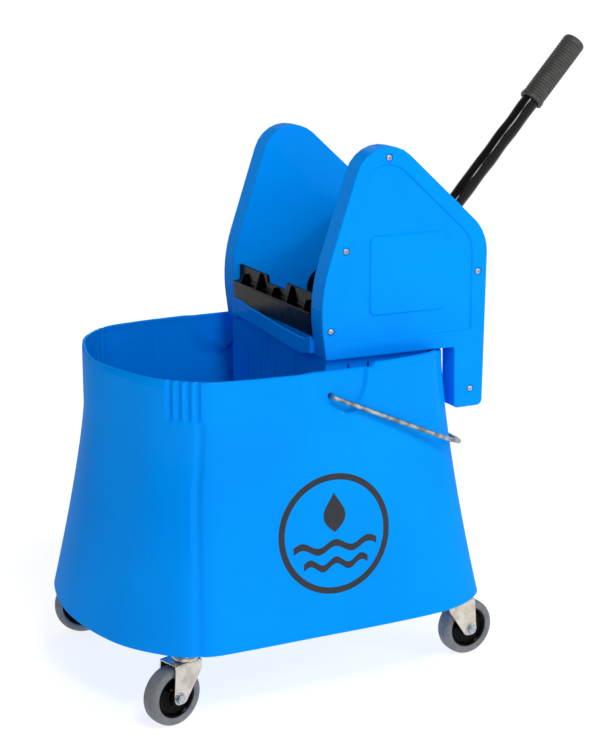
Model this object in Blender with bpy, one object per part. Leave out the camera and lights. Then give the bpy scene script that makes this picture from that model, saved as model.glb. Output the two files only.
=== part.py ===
"""Janitor's bucket on four casters, with a lift-off down-press wringer.

Sizes are in millimetres and turned into metres by MM when a mesh is made. X runs from the
open front of the tub (-X) to the lever (+X), Y across it, and Z up from the floor. All sizes
are from the bucket's own middle, between the front and rear casters. The empty "stand" puts
the origin on the floor under the middle of the whole object, which the lever makes longer.
"""

import math

import bmesh
import bpy
from mathutils import Matrix, Vector

MM = 0.001
GAP = 0.3  # between pieces that touch

# The stand: how far the bucket's middle is from the middle of the whole object.
STAND_X = -86.9

# Tub: half of the plan at the rim and at the foot of the skirt, from the front to the rear.
RIM_Z = 430.0
SKIRT_Z = 98.0
WALL = 4.0
FLOOR_UNDER_Z = 104.0
RIM_PLAN = [
    (-252, 0), (-230, 100), (-204, 145), (-174, 171), (-137, 181), (-56, 190),
    (41, 191), (118, 181), (154, 163), (174, 130), (183, 60), (183, 0),
]
SKIRT_PLAN = [
    (-294, 0), (-275, 114), (-231, 183), (-189, 209), (-140, 213), (-50, 213),
    (60, 213), (148, 207), (199, 185), (227, 149), (236, 80), (237, 0),
]
PLAN_STEPS = 2  # points on each stretch of the plan
WALL_LEVELS = [1.0, 0.85, 0.7, 0.55, 0.4, 0.28, 0.14, 0.0]  # parts of the flare's height

# Bail: a wire that turns in the tub's side walls and lies against its rear wall.
BAIL_PIVOT = Vector((-12, 399))
BAIL_SIDE_Y = 197.5
BAIL_END_Y = 184.5
BAIL_CROSS = Vector((202.4, 302.2))
BAIL_R = 3.0
BAIL_BEND = 85.0

# Casters: swivel axes, and how far each one is turned at rest.
WHEEL_R = 38.0
WHEEL_HALF = 12.0
TRAIL = 22.0
SEAT_R = 27.0  # where the tyre sits on the hub
PLATE_HALF = 18.0
RACE_R = 16.5
FORK_LEG_Y = (14.0, 16.5)
CROWN_Z = (79.0, 81.5)
PIN_R = 5.0
AXLE_R = 4.0
CASTERS = {
    "front_right": (-198, -160, 16),
    "front_left": (-198, 160, -18),
    "rear_right": (198, -135, 184),
    "rear_left": (198, 135, 169),
}

# Wringer cheeks: outline in X and Z, each corner with its radius, and their places in Y.
CHEEK = [
    (1, 433, 2), (-9, 509.6, 200), (65.2, 728.8, 45.5), (231.5, 577.4, 60),
    (228.5, 350, 8), (187, 350, 5), (185.5, 431.5, 3),
]
CHEEK_IN_Y = 118.0
WEB = 3.5
COVER_Y = 147.3
CHEEK_OUT_Y = 150.0
SCREWS = [(87, 680), (28, 568), (218, 528), (7.5, 469), (210, 374)]
FIELD = [(25, 451.4, 5), (24, 510, 150), (62.8, 705.9, 36), (210, 572, 45), (210, 451.4, 5)]
FIELD_DEEP = 1.3
PAD = [(62.5, 484, 8), (62.5, 583.4, 8), (171.5, 583.4, 8), (171.5, 484, 8)]

# Basket that hangs in the tub.
BASKET = [(4, 480, 1), (4, 322, 18), (22, 306, 24), (138, 306, 24), (150, 330, 22), (150, 480, 1)]
BASKET_HALF = 142.0
BASKET_TOP = 436.0
SLOT_PITCH = 42.0
DECK_Z = RIM_Z + GAP  # the deck rests on the tub's rear rim
DECK_X = (146.0, 226.0)
DECK_HALF = 120.0
DECK_THICK = 4.0
BACK_TOP = 476.0
APRON = ((-3.0, 433.5), (5.0, 484.5))  # its lower and upper corner, in X and Z
BOSS_R = 5.0
BUSH_SEAT_R = 12.0
MOUTH = [
    (7.5, 432), (7.5, 560), (200, 560), (200, DECK_Z + DECK_THICK),
    (146.5, DECK_Z + DECK_THICK), (146.5, 432),
]

# Shafts: the lever's and the press plate's, with the geared ratio between them.
LEVER_AT = Vector((190, 500))
PRESS_AT = Vector((136, 467))
LEVER_TEETH = 28
PRESS_TEETH = 16
GEAR_MODULE = 2 * (LEVER_AT - PRESS_AT).length / (LEVER_TEETH + PRESS_TEETH)
MESH_ANGLE = math.degrees(math.atan2(PRESS_AT.y - LEVER_AT.y, PRESS_AT.x - LEVER_AT.x))
LEVER_SHAFT_R = 8.0
PRESS_SHAFT_R = 7.0
SHAFT_HALF = 145.0
GEAR_Y = (125.0, 141.0)

# Lever, along its own axis from the shaft.
LEVER_LEAN = 41.6
TUBE_R = 12.5
SOCKET_END = 62.0
GRIP_R = 15.75
GRIP_START = 299.0
LEVER_LENGTH = 405.0
TUBE_END = 395.0

# Press plate, from its own axis.
PRESS_ANGLE = 74.0
PRESS_REACH = 122.0
PRESS_HALF = 115.0


def clear_scene():
    for obj in list(bpy.data.objects):
        bpy.data.objects.remove(obj)


def material(name, colour, roughness, metallic=0.0):
    made = bpy.data.materials.new(name)
    made.use_nodes = True
    shader = made.node_tree.nodes["Principled BSDF"]
    shader.inputs["Base Color"].default_value = (*colour, 1)
    shader.inputs["Roughness"].default_value = roughness
    shader.inputs["Metallic"].default_value = metallic
    return made


def empty(name, parent, at=(0, 0, 0), turn_z=0.0):
    made = bpy.data.objects.new(name, None)
    bpy.context.collection.objects.link(made)
    made.parent = parent
    made.location = Vector(at) * MM
    made.rotation_euler.z = math.radians(turn_z)
    return made


def piece(name, mesh, finish, parent, smooth=True):
    """One object from a bmesh in millimetres, placed where its parent is."""
    bmesh.ops.scale(mesh, vec=(MM, MM, MM), verts=mesh.verts)
    bmesh.ops.recalc_face_normals(mesh, faces=mesh.faces)
    data = bpy.data.meshes.new(name)
    mesh.to_mesh(data)
    mesh.free()
    if smooth:
        data.shade_smooth()
        data.set_sharp_from_angle(angle=math.radians(35))
    if finish:
        data.materials.append(finish)
    made = bpy.data.objects.new(name, data)
    bpy.context.collection.objects.link(made)
    made.parent = parent
    return made


def combine(target, operation, *meshes):
    """Joins shapes to a piece, or cuts them from it, with Boolean modifiers."""
    for mesh in meshes:
        helper = piece(f"{target.name}.helper", mesh, None, target.parent, smooth=False)
        helper.hide_render = True
        helper.display_type = "WIRE"
        modifier = target.modifiers.new(operation.lower(), "BOOLEAN")
        modifier.operation = operation
        modifier.solver = "EXACT"
        modifier.object = helper


def rounded(corners, steps=5):
    """A closed outline through corners (a, b, radius), with arcs at the corners."""
    outline = []
    count = len(corners)
    for i, (a, b, radius) in enumerate(corners):
        corner = Vector((a, b))
        back = (Vector(corners[i - 1][:2]) - corner).normalized()
        ahead = (Vector(corners[(i + 1) % count][:2]) - corner).normalized()
        half = back.angle(ahead) / 2
        centre = corner + (back + ahead).normalized() * radius / math.sin(half)
        start = corner + back * radius / math.tan(half) - centre
        end = corner + ahead * radius / math.tan(half) - centre
        turn = start.angle_signed(end)
        for k in range(steps + 1):
            outline.append(centre + Matrix.Rotation(-turn * k / steps, 2) @ start)
    return outline


def inner_corners(corners, distance):
    """The corners of the outline that runs this far inside, with parallel arcs."""
    points = [Vector(corner[:2]) for corner in corners]
    area = sum(p.cross(q) for p, q in zip(points, points[1:] + points[:1]))
    side = math.copysign(1, area)
    inner = []
    for i, (point, corner) in enumerate(zip(points, corners)):
        before = (point - points[i - 1]).normalized()
        after = (points[(i + 1) % len(points)] - point).normalized()
        normal = Vector((-(before.y + after.y), before.x + after.x)).normalized() * side
        moved = point + normal * distance / normal.dot(Vector((-before.y, before.x)) * side)
        convex = before.cross(after) * side > 0
        radius = max(corner[2] - distance, 0.5) if convex else corner[2] + distance
        inner.append((moved.x, moved.y, radius))
    return inner


def inset(outline, distance):
    """A smooth outline moved inwards."""
    area = sum(p.cross(q) for p, q in zip(outline, outline[1:] + outline[:1]))
    side = math.copysign(1, area)
    moved = []
    for i, point in enumerate(outline):
        before = (point - outline[i - 1]).normalized()
        after = (outline[(i + 1) % len(outline)] - point).normalized()
        normal = Vector((-(before.y + after.y), before.x + after.x)).normalized() * side
        slant = max(normal.dot(Vector((-before.y, before.x)) * side), 0.5)
        moved.append(point + normal * distance / slant)
    return moved


def prism(outline, low, high, mesh=None):
    """An outline in X and Z, extruded along Y from low to high."""
    mesh = mesh or bmesh.new()
    near = [mesh.verts.new((p[0], low, p[1])) for p in outline]
    far = [mesh.verts.new((p[0], high, p[1])) for p in outline]
    mesh.faces.new(near)
    mesh.faces.new(far[::-1])
    for i in range(len(outline)):
        mesh.faces.new((near[i - 1], far[i - 1], far[i], near[i]))
    return mesh


def box(low, high, mesh=None):
    corners = [(low[0], low[2]), (high[0], low[2]), (high[0], high[2]), (low[0], high[2])]
    return prism(corners, low[1], high[1], mesh)


def turned(profile, segments=20, axis="Z", at=(0, 0, 0), mesh=None):
    """A closed profile of (radius, height) turned round an axis. Radius 0 closes on the axis."""
    mesh = mesh or bmesh.new()
    rings = []
    for radius, height in profile:
        if radius == 0:
            rings.append([mesh.verts.new((0, 0, height))] * segments)
            continue
        ring = []
        for k in range(segments):
            angle = math.tau * k / segments
            ring.append(mesh.verts.new((radius * math.cos(angle), radius * math.sin(angle), height)))
        rings.append(ring)
    closed = profile[0][0] > 0
    for i in range(0 if closed else 1, len(rings)):
        low, high = rings[i - 1], rings[i]
        for k in range(segments):
            face = []
            for vert in (low[k - 1], low[k], high[k], high[k - 1]):
                if vert not in face:
                    face.append(vert)
            if len(face) > 2:
                mesh.faces.new(face)
    turn = Matrix.Rotation(math.radians(-90), 4, "X") if axis == "Y" else Matrix.Identity(4)
    verts = list({vert for ring in rings for vert in ring})
    bmesh.ops.transform(mesh, matrix=Matrix.Translation(Vector(at)) @ turn, verts=verts)
    return mesh


def rod(radius, low, high, at=(0, 0), segments=16, mesh=None):
    """A solid round bar along Y, at X and Z."""
    profile = [(0, low), (radius, low), (radius, high), (0, high)]
    return turned(profile, segments, "Y", (at[0], 0, at[1]), mesh)


def bar(radius, low, high, segments=14, at=(0, 0, 0)):
    """A solid round bar along Z."""
    return turned([(0, low), (radius, low), (radius, high), (0, high)], segments, "Z", at)


def smooth_loop(points, steps):
    """A closed smooth curve through the points."""
    count = len(points)
    loop = []
    for i in range(count):
        p0, p1, p2, p3 = (Vector(points[(i + k) % count]) for k in (-1, 0, 1, 2))
        for k in range(steps):
            t = k / steps
            loop.append(
                0.5 * (2 * p1 + (p2 - p0) * t + (2 * p0 - 5 * p1 + 4 * p2 - p3) * t**2
                       + (3 * p1 - p0 - 3 * p2 + p3) * t**3)
            )
    return loop


def whole_plan(half):
    return half + [(x, -y) for x, y in half[-2:0:-1]]


RIM_LOOP = smooth_loop(whole_plan(RIM_PLAN), PLAN_STEPS)
SKIRT_LOOP = smooth_loop(whole_plan(SKIRT_PLAN), PLAN_STEPS)


def tub_plan(z):
    """The tub's outer plan at a height. The front drops straight before it flares, and the
    rear wall flares all the way down."""
    drop = (RIM_Z - z) / (RIM_Z - SKIRT_Z)
    front = max(0, (drop - 0.25) / 0.75) ** 1.25
    rear = drop**1.4
    plan = []
    for rim, skirt in zip(RIM_LOOP, SKIRT_LOOP):
        share = min(max((rim.x + 100) / 250, 0), 1)
        plan.append(rim.lerp(skirt, front + (rear - front) * share))
    return plan


def make_tub(stand, finish):
    """The moulded tub: an outer skin down to the skirt's edge, the underside, and the inside."""
    levels = [SKIRT_Z + (RIM_Z - SKIRT_Z) * part for part in WALL_LEVELS]
    rings = [(tub_plan(z), z) for z in levels]
    rings.append((inset(tub_plan(SKIRT_Z), WALL), SKIRT_Z))
    rings.append((inset(tub_plan(FLOOR_UNDER_Z), WALL), FLOOR_UNDER_Z))
    mesh = bmesh.new()
    loops = [[mesh.verts.new((p.x, p.y, z)) for p in plan] for plan, z in rings]
    floor_z = FLOOR_UNDER_Z + WALL
    inside = [(inset(tub_plan(z), WALL), z) for z in levels[:-1]]
    inside.append((inset(tub_plan(floor_z), WALL), floor_z))
    inner = [[mesh.verts.new((p.x, p.y, z)) for p in plan] for plan, z in inside]
    for walls in (loops, inner):
        for upper, lower in zip(walls, walls[1:]):
            for i in range(len(upper)):
                mesh.faces.new((upper[i - 1], upper[i], lower[i], lower[i - 1]))
    for i in range(len(loops[0])):
        mesh.faces.new((loops[0][i - 1], loops[0][i], inner[0][i], inner[0][i - 1]))
    mesh.faces.new(loops[-1])
    mesh.faces.new(inner[-1])
    tub = piece("bucket_shell", mesh, finish, stand)
    for side in (-1, 1):
        low, high = sorted((side * 180, side * 200))
        combine(tub, "DIFFERENCE", rod(BAIL_R + 0.8, low, high, BAIL_PIVOT, 16))


def make_bail(axis, finish):
    """A bent wire: in through one side wall, back along the side, and across behind the tub."""
    reach = BAIL_CROSS - BAIL_PIVOT
    along = Vector((reach.x, 0, reach.y))
    corners = [
        (Vector((0, -BAIL_END_Y, 0)), 0),
        (Vector((0, -BAIL_SIDE_Y, 0)), 6),
        (along + Vector((0, -BAIL_SIDE_Y, 0)), BAIL_BEND),
        (along + Vector((0, BAIL_SIDE_Y, 0)), BAIL_BEND),
        (Vector((0, BAIL_SIDE_Y, 0)), 6),
        (Vector((0, BAIL_END_Y, 0)), 0),
    ]
    route = []
    for i, (corner, radius) in enumerate(corners):
        if radius == 0:
            route.append(corner)
            continue
        back = (corners[i - 1][0] - corner).normalized()
        ahead = (corners[i + 1][0] - corner).normalized()
        for k in range(6):
            t = k / 5
            start, end = corner + back * radius, corner + ahead * radius
            route.append(start.lerp(corner, t).lerp(corner.lerp(end, t), t))
    data = bpy.data.curves.new("bail_wire", "CURVE")
    data.dimensions = "3D"
    data.bevel_depth = BAIL_R * MM
    data.bevel_resolution = 2
    data.use_fill_caps = True
    spline = data.splines.new("POLY")
    spline.points.add(len(route) - 1)
    for point, at in zip(spline.points, route):
        point.co = (*(at * MM), 1)
    data.materials.append(finish)
    made = bpy.data.objects.new("bail_wire", data)
    bpy.context.collection.objects.link(made)
    made.parent = axis


def make_caster(name, stand, finishes):
    """Plate and race under the tub, a pressed fork on a king pin, and a tyred wheel."""
    x, y, turn = CASTERS[name]
    steel, zinc, black, tyre_finish = finishes
    fixed = empty(f"{name}_plate_place", stand, (x, y, 0))
    swivel = empty(f"{name}_swivel_axis", stand, (x, y, 0), turn)
    wheel = empty(f"{name}_wheel_axis", swivel, (-TRAIL, 0, WHEEL_R))
    plate_top = FLOOR_UNDER_Z - GAP
    square = box((-PLATE_HALF, -PLATE_HALF, plate_top - 3), (PLATE_HALF, PLATE_HALF, plate_top))
    plate = piece(f"{name}_plate", square, steel, fixed)
    combine(plate, "UNION", bar(RACE_R, 90.6, plate_top - 1))
    combine(plate, "DIFFERENCE", bar(PIN_R + GAP, 89, 100))
    leg = rounded([(-31, 29.5, 8.5), (-27, 81.5, 1), (14, 81.5, 4), (13, 68, 14), (-13, 29.5, 8.5)], 3)
    leg_in, leg_out = FORK_LEG_Y
    crown_low, crown_high = CROWN_Z
    crown = box((-26.8, -leg_in - 1, crown_low), (13.5, leg_in + 1, crown_high))
    fork = piece(f"{name}_fork", crown, steel, swivel)
    combine(fork, "UNION", prism(leg, -leg_out, -leg_in), prism(leg, leg_in, leg_out),
            bar(RACE_R + 0.5, crown_high - 0.5, 90.3))
    combine(fork, "DIFFERENCE", bar(PIN_R + GAP, 78, 92),
            rod(AXLE_R + GAP, -18, 18, (-TRAIL, WHEEL_R), 10))
    under = crown_low - GAP
    king_pin = [(0, under - 3.5), (8, under - 3.5), (8, under), (PIN_R, under), (PIN_R, 99), (0, 99)]
    piece(f"{name}_king_pin", turned(king_pin, 10), zinc, swivel)
    head = WHEEL_HALF + 4.8
    bolt = [(0, -head - 4), (6.5, -head - 4), (6.5, -head), (AXLE_R, -head), (AXLE_R, head),
            (6.5, head), (6.5, head + 4), (0, head + 4)]
    piece(f"{name}_axle", turned(bolt, 10, "Y"), zinc, wheel)
    bore, rim = AXLE_R + GAP, SEAT_R - GAP
    hub = [(bore, -13.4), (10, -13.4), (10, -7), (20, -5), (rim, -10), (rim, 10),
           (20, 5), (10, 7), (10, 13.4), (bore, 13.4)]
    piece(f"{name}_hub", turned(hub, 18, "Y"), black, wheel)
    tread = [(SEAT_R, -WHEEL_HALF + 2), (WHEEL_R - 5, -WHEEL_HALF), (WHEEL_R - 0.8, -WHEEL_HALF + 4),
             (WHEEL_R, 0), (WHEEL_R - 0.8, WHEEL_HALF - 4), (WHEEL_R - 5, WHEEL_HALF),
             (SEAT_R, WHEEL_HALF - 2)]
    piece(f"{name}_tyre", turned(tread, 24, "Y"), tyre_finish, wheel)


def slots():
    """Drain slots of the basket: in its front, sides and floor."""
    mesh = bmesh.new()
    for k in range(-3, 3):
        y = SLOT_PITCH * (k + 0.5) - 15
        if abs(y) > BASKET_HALF - 15:
            continue
        box((-2, y - 1.5, 338), (12, y + 1.5, 393), mesh)
        box((34, y - 4, 300), (126, y + 4, 316), mesh)
    for side in (-1, 1):
        low, high = sorted((side * 132, side * 148))
        for k in range(4):
            x = 36 + 28 * k
            box((x - 1.5, low, 340), (x + 1.5, high, 424), mesh)
    return mesh


def make_wringer(stand, blue):
    """The wringer's main moulding: two hollow cheeks with hooked legs, the basket between them,
    the apron over the tub, and the deck and back wall round the lever."""
    (front, bottom), (rear, top) = APRON
    apron = box((front, -DECK_HALF, bottom), (rear, DECK_HALF, top))
    body = piece("wringer_body", apron, blue, stand)
    cheek = rounded(CHEEK, 6)
    hollow = rounded(inner_corners(CHEEK, WEB), 6)
    basket = rounded(BASKET, 4)
    walls = prism(basket, -BASKET_HALF, BASKET_HALF)
    deck = box((DECK_X[0], -DECK_HALF, DECK_Z), (DECK_X[1], DECK_HALF, DECK_Z + DECK_THICK))
    back = box((DECK_X[1] - WALL, -DECK_HALF, DECK_Z), (DECK_X[1], DECK_HALF, BACK_TOP))
    combine(body, "UNION", walls, deck, back)
    for side in (-1, 1):
        outer = sorted((side * CHEEK_IN_Y, side * (COVER_Y - GAP)))
        inner = sorted((side * (CHEEK_IN_Y + WEB), side * (COVER_Y + 5)))
        combine(body, "UNION", prism(cheek, *outer))
        combine(body, "DIFFERENCE", prism(hollow, *inner))
    below = BASKET_HALF - WEB
    inside = rounded(inner_corners(BASKET, WEB), 4)
    lower = [p for p in inside if p.y < BASKET_TOP - 5]
    well = [Vector((lower[0].x, BASKET_TOP - 3))] + lower + [Vector((lower[-1].x, BASKET_TOP - 3))]
    combine(body, "DIFFERENCE", prism(well, -below, below))
    combine(body, "DIFFERENCE", prism(MOUTH, -CHEEK_IN_Y, CHEEK_IN_Y), slots())
    bosses = bmesh.new()
    holes = bmesh.new()
    for side in (-1, 1):
        for x, z in SCREWS:
            rod(BOSS_R, *sorted((side * 120, side * (COVER_Y - GAP))), (x, z), 10, bosses)
            rod(2.3, *sorted((side * 128, side * 150)), (x, z), 8, holes)
        for at in (LEVER_AT, PRESS_AT):
            rod(BUSH_SEAT_R, *sorted((side * 115, side * 123)), at, 14, holes)
    combine(body, "UNION", bosses)
    combine(body, "DIFFERENCE", holes)


def make_cover(side, stand, blue):
    """The cheek's outer cover: a plate with a sunk field and a raised square pad."""
    name = "left_cover" if side > 0 else "right_cover"
    plate = prism(rounded(CHEEK, 6), *sorted((side * COVER_Y, side * CHEEK_OUT_Y)))
    cover = piece(name, plate, blue, stand)
    sunk = prism(rounded(FIELD, 5), *sorted((side * (CHEEK_OUT_Y - FIELD_DEEP), side * 155)))
    pad = prism(rounded(PAD, 3), *sorted((side * (CHEEK_OUT_Y - 2), side * CHEEK_OUT_Y)))
    combine(cover, "DIFFERENCE", sunk)
    combine(cover, "UNION", pad)
    holes = bmesh.new()
    for x, z in SCREWS:
        rod(2.5, *sorted((side * 140, side * 155)), (x, z), 8, holes)
    combine(cover, "DIFFERENCE", holes)


def make_screw(index, side, stand, zinc):
    name = f"{'left' if side > 0 else 'right'}_cover_screw_{index + 1}"
    x, z = SCREWS[index]
    face = CHEEK_OUT_Y + GAP
    profile = [(0, 130), (2, 130), (2, face), (4.4, face), (3.8, face + 1.6), (0, face + 2)]
    if side < 0:
        profile = [(radius, -height) for radius, height in profile]
    piece(name, turned(profile, 8, "Y", (x, 0, z)), zinc, stand)


def gear_outline(teeth, arc, rest_radius):
    """Teeth with straight flanks over an arc in degrees, and a plain hub round the rest."""
    pitch_r = GEAR_MODULE * teeth / 2
    pitch = 360 / teeth
    start, end = arc
    count = round((end - start) / pitch)
    outline = []
    for k in range(count + 1):
        middle = start + k * pitch
        for radius, part in ((pitch_r - 1.15 * GEAR_MODULE, -0.36), (pitch_r + 0.8 * GEAR_MODULE, -0.12),
                             (pitch_r + 0.8 * GEAR_MODULE, 0.12), (pitch_r - 1.15 * GEAR_MODULE, 0.36)):
            angle = math.radians(middle + part * pitch)
            outline.append(Vector((math.cos(angle), math.sin(angle))) * radius)
    plain = 360 - count * pitch - pitch
    for k in range(1, 12):
        angle = math.radians(start + count * pitch + pitch / 2 + plain * k / 12)
        outline.append(Vector((math.cos(angle), math.sin(angle))) * rest_radius)
    return outline


def make_gears(lever_axis, press_axis, black):
    """A toothed sector on each end of the lever's shaft drives a gear on the press shaft."""
    lever_pitch = 360 / LEVER_TEETH
    press_pitch = 360 / PRESS_TEETH
    lever_arc = (MESH_ANGLE - 1 * lever_pitch, MESH_ANGLE + 6 * lever_pitch)
    press_mid = MESH_ANGLE + 180
    press_arc = (press_mid - 5.5 * press_pitch, press_mid + 1.5 * press_pitch)
    for side, name in ((-1, "right"), (1, "left")):
        low, high = sorted((side * GEAR_Y[0], side * GEAR_Y[1]))
        lever_gear = prism(gear_outline(LEVER_TEETH, lever_arc, 20), low, high)
        made = piece(f"{name}_lever_gear", lever_gear, black, lever_axis)
        combine(made, "DIFFERENCE", rod(LEVER_SHAFT_R + GAP, low - 2, high + 2))
        press_gear = prism(gear_outline(PRESS_TEETH, press_arc, 17), low, high)
        made = piece(f"{name}_press_gear", press_gear, black, press_axis)
        combine(made, "DIFFERENCE", rod(PRESS_SHAFT_R + GAP, low - 2, high + 2))


def make_bush(name, side, at, shaft_r, stand, finish):
    """A flanged bush in the cheek's web, pushed in from the hollow side."""
    web_in, web_out = CHEEK_IN_Y, CHEEK_IN_Y + WEB + GAP
    bore, outer = shaft_r + GAP, BUSH_SEAT_R - GAP
    profile = [(bore, web_in), (outer, web_in), (outer, web_out), (15, web_out),
               (15, web_out + 2), (bore, web_out + 2)]
    if side < 0:
        profile = [(radius, -height) for radius, height in profile]
    piece(name, turned(profile, 14, "Y", (at.x, 0, at.y)), finish, stand)


def lever_frame():
    """Turns +Z to the lever's direction at rest."""
    return Matrix.Rotation(math.radians(LEVER_LEAN), 4, "Y")


def leaned(mesh):
    bmesh.ops.transform(mesh, matrix=lever_frame(), verts=mesh.verts)
    return mesh


def make_lever(axis, black, zinc):
    """A socket clamped on the middle of the shaft, a steel tube in it, and a ribbed grip."""
    piece("lever_shaft", rod(LEVER_SHAFT_R, -SHAFT_HALF, SHAFT_HALF), zinc, axis)
    socket = piece("lever_socket", leaned(bar(16.5, 5, SOCKET_END, 20)), black, axis)
    combine(socket, "UNION", rod(19, -22, 22))
    combine(socket, "DIFFERENCE", leaned(bar(TUBE_R + GAP, 24, SOCKET_END + 5, 20)))
    combine(socket, "DIFFERENCE", rod(LEVER_SHAFT_R + GAP, -30, 30))
    combine(socket, "DIFFERENCE", leaned(rod(3.4, -20, 20, (0, 44), 12)))
    tube = [(TUBE_R - 2, 24.4), (TUBE_R, 24.4), (TUBE_R, TUBE_END), (TUBE_R - 2, TUBE_END)]
    made = piece("lever_tube", leaned(turned(tube, 20)), black, axis)
    combine(made, "DIFFERENCE", leaned(rod(3.4, -20, 20, (0, 44), 12)))
    bolt = [(0, -21.5), (6, -21.5), (6, -17), (3, -17), (3, 17), (6, 17), (6, 21.5), (0, 21.5)]
    piece("lever_clamp_bolt", leaned(turned(bolt, 12, "Y", (0, 0, 44))), zinc, axis)
    bore = TUBE_R + GAP
    collar_end = GRIP_START + 7
    grip = [(0, LEVER_LENGTH), (GRIP_R - 4, LEVER_LENGTH), (GRIP_R, LEVER_LENGTH - 5),
            (GRIP_R, collar_end + 1), (GRIP_R + 1, collar_end), (GRIP_R + 1, GRIP_START),
            (bore, GRIP_START), (bore, TUBE_END + 1), (0, TUBE_END + 1)]
    piece("lever_grip", leaned(turned(grip, 20)), black, axis)


def make_press(axis, black, zinc):
    """The press plate with its sleeve, hub discs and ribs, and the shaft that turns it."""
    turn = Matrix.Rotation(math.radians(-PRESS_ANGLE), 4, "Y")
    slab = [(0, -3), (PRESS_REACH - 5, -3), (PRESS_REACH, 0), (PRESS_REACH - 5, 3), (0, 3)]
    plate_mesh = prism(slab, -PRESS_HALF, PRESS_HALF)
    bmesh.ops.transform(plate_mesh, matrix=turn, verts=plate_mesh.verts)
    plate = piece("press_plate", plate_mesh, black, axis)
    hubs = bmesh.new()
    for side in (-1, 1):
        rod(30, *sorted((side * 108, side * (CHEEK_IN_Y - 0.5))), mesh=hubs)
    ribs = bmesh.new()
    for y in (-84, -42, 0, 42, 84):
        prism([(4, -2), (PRESS_REACH - 14, -2), (PRESS_REACH - 14, -4), (14, -17), (4, -17)],
              y - 1.5, y + 1.5, ribs)
    bmesh.ops.transform(ribs, matrix=turn, verts=ribs.verts)
    combine(plate, "UNION", rod(12, -112, 112), hubs, ribs)
    combine(plate, "DIFFERENCE", rod(PRESS_SHAFT_R + GAP, -125, 125))
    piece("press_shaft", rod(PRESS_SHAFT_R, -SHAFT_HALF, SHAFT_HALF), zinc, axis)


def make_guard(stand, black):
    """The ribbed guard clipped over the basket's front lip."""
    section = [(-20, 465), (-17.2, 465), (-17.2, 485), (3, 485), (8, 485), (8, 510),
               (4.4, 510), (4.4, 488.5), (-20, 488.5)]
    guard = piece("mouth_guard", prism(section, -114, 114), black, stand)
    ribs = bmesh.new()
    for y in (-47, 47):
        prism([(-18.5, 487), (5, 487), (5, 509.5), (-3, 509.5)], y - 1.2, y + 1.2, ribs)
    prism([(-18.5, 487), (5, 487), (5, 498.5), (-5, 498.5)], -1.2, 1.2, ribs)
    combine(guard, "UNION", ribs)
    combine(guard, "DIFFERENCE", box((3.4, -29, 500), (10, 29, 515)))


def make_spring(stand, steel):
    """The torsion spring that lifts the lever again, wound round its shaft."""
    turns, steps, radius, wire = 5, 12, 11.5, 1.2
    data = bpy.data.curves.new("return_spring", "CURVE")
    data.dimensions = "3D"
    data.bevel_depth = wire * MM
    data.bevel_resolution = 0
    data.use_fill_caps = True
    route = []
    for k in range(turns * steps + 1):
        angle = math.tau * k / steps
        route.append((LEVER_AT.x + radius * math.cos(angle), 60 + 3.4 * k / steps,
                      LEVER_AT.y + radius * math.sin(angle)))
    route.insert(0, (LEVER_AT.x + radius, 60, 437))
    spline = data.splines.new("POLY")
    spline.points.add(len(route) - 1)
    for point, at in zip(spline.points, route):
        point.co = (*(Vector(at) * MM), 1)
    data.materials.append(steel)
    made = bpy.data.objects.new("return_spring", data)
    bpy.context.collection.objects.link(made)
    made.parent = stand


def build():
    clear_scene()
    blue = material("blue_plastic", (0.0, 0.30, 0.90), 0.3)
    black = material("black_plastic", (0.012, 0.012, 0.013), 0.35)
    lever_black = material("black_lever", (0.01, 0.01, 0.01), 0.2)
    rubber = material("grey_rubber", (0.15, 0.16, 0.165), 0.6)
    steel = material("pressed_steel", (0.55, 0.52, 0.48), 0.3, 1.0)
    zinc = material("zinc_steel", (0.6, 0.6, 0.58), 0.35, 1.0)
    wire = material("galvanised_wire", (0.55, 0.56, 0.56), 0.4, 1.0)
    bush = material("bush_plastic", (0.75, 0.75, 0.72), 0.4)
    stand = empty("stand", None, (STAND_X, 0, 0))
    make_tub(stand, blue)
    make_bail(empty("bail_axis", stand, (BAIL_PIVOT.x, 0, BAIL_PIVOT.y)), wire)
    for name in CASTERS:
        make_caster(name, stand, (steel, zinc, black, rubber))
    make_wringer(stand, blue)
    for side in (-1, 1):
        make_cover(side, stand, blue)
        for index in range(len(SCREWS)):
            make_screw(index, side, stand, zinc)
        place = "left" if side > 0 else "right"
        make_bush(f"{place}_lever_bush", side, LEVER_AT, LEVER_SHAFT_R, stand, bush)
        make_bush(f"{place}_press_bush", side, PRESS_AT, PRESS_SHAFT_R, stand, bush)
    lever_axis = empty("lever_axis", stand, (LEVER_AT.x, 0, LEVER_AT.y))
    press_axis = empty("press_axis", stand, (PRESS_AT.x, 0, PRESS_AT.y))
    make_lever(lever_axis, lever_black, zinc)
    make_gears(lever_axis, press_axis, black)
    make_press(press_axis, black, zinc)
    make_guard(stand, black)
    make_spring(stand, zinc)


build()
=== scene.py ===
import math

import bmesh
import bpy
from mathutils import Matrix, Vector
from mathutils.bvhtree import BVHTree


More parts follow.
